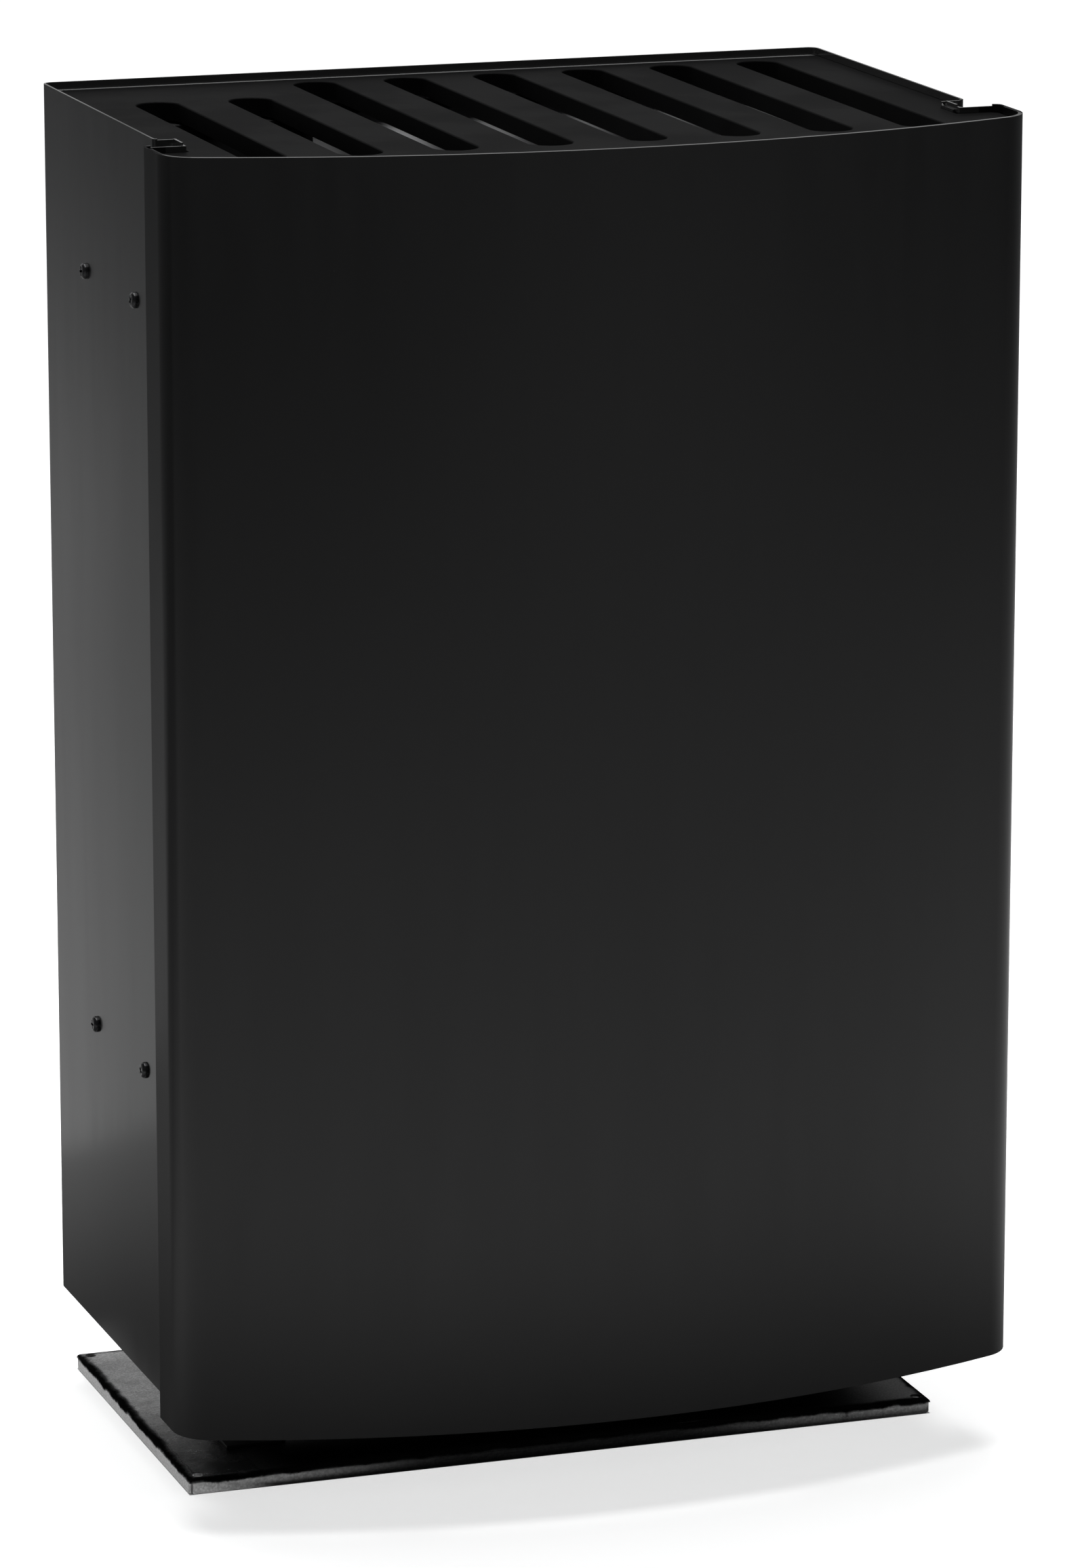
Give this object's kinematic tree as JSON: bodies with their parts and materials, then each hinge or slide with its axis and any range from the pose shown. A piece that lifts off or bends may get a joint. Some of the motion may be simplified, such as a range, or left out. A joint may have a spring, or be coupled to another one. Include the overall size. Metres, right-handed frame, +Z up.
{
  "type": "air purifier",
  "caption": "Floor-standing air purifier with a folded steel body, bowed front cover, slotted top outlet, hinged rear inlet door, filter cassette and radial fan, raised on a flat floor plate.",
  "frame": {"origin": "floor level under the middle of the overall outline in plan", "axes": "+Z up, -Y to the front towards the bowed cover, +X to the right seen from the front"},
  "size_m": [0.48, 0.342, 0.745],
  "materials": {
    "body_black": "satin black powder coat on steel sheet",
    "inner_black": "matte black coat on inner steel sheet",
    "base_metal": "worn dark coat on the folded floor plate",
    "grille_black": "finely textured matte black",
    "gloss_black": "gloss black",
    "plastic_black": "black moulded plastic",
    "galvanised": "zinc-coated sheet",
    "screw_black": "black oxide",
    "bright_steel": "zinc-plated steel",
    "motor_alloy": "cast aluminium",
    "impeller_grey": "grey moulded plastic",
    "rubber_black": "soft black rubber",
    "capacitor_grey": "drawn aluminium can",
    "frame_white": "white cassette frame",
    "pleat_white": "pleated fibre medium",
    "carbon_black": "carbon-loaded fibre mat",
    "foam_grey": "closed-cell foam",
    "strap_grey": "woven strap",
    "magnet_grey": "sintered magnet",
    "board_green": "coated circuit board",
    "switch_grey": "moulded switch body",
    "knob_grey": "soft dark grey knob"
  },
  "bodies": {
    "cabinet": {"base_plate": "base_metal", "stand_left": "inner_black", "stand_right": "inner_black", "stand_screws": "screw_black", "bottom_pan": "inner_black", "housing_wrap": "body_black", "front_cover": "body_black", "cover_rivets": "screw_black", "cover_stiffeners": "galvanised", "top_grille": "grille_black", "grille_ledges": "galvanised", "outlet_deflector": "gloss_black", "fan_deck": "inner_black", "inlet_ring": "plastic_black", "motor_body": "motor_alloy", "motor_panel": "inner_black", "motor_grommets": "rubber_black", "motor_screws": "bright_steel", "run_capacitor": "capacitor_grey", "wire_conduit": "plastic_black", "side_screws": "screw_black", "filter_sill": "galvanised", "filter_guide_left": "galvanised", "filter_guide_right": "galvanised", "filter_frame": "frame_white", "pleat_pack": "pleat_white", "carbon_mat": "carbon_black", "filter_seal": "foam_grey", "filter_strap": "strap_grey", "door_ledges": "galvanised", "hinge_pins": "bright_steel", "latch_post": "galvanised", "door_magnets": "magnet_grey", "control_box": "plastic_black", "control_cup": "plastic_black", "cup_screws": "screw_black", "control_board": "board_green", "speed_switch": "switch_grey", "power_inlet": "plastic_black"},
    "rotor": {"impeller": "impeller_grey", "motor_shaft": "bright_steel", "hub_nut": "bright_steel"},
    "door": {"rear_door": "body_black"},
    "knob": {"speed_knob": "knob_grey"}
  },
  "joints": [
    {"name": "impeller_spin", "type": "hinge", "parent": "cabinet", "child": "rotor", "pos_m": [0, 0, 0.35], "axis": [0, 1, 0], "continuous": true},
    {"name": "door_swing", "type": "hinge", "parent": "cabinet", "child": "door", "pos_m": [0.205, 0.158, 0.3605], "axis": [0, 0, -1], "range_deg": [0, 90]},
    {"name": "knob_turn", "type": "hinge", "parent": "cabinet", "child": "knob", "pos_m": [-0.1803, 0.15, 0.6958], "axis": [0, -1, 0], "range_deg": [0, 135]}
  ]
}
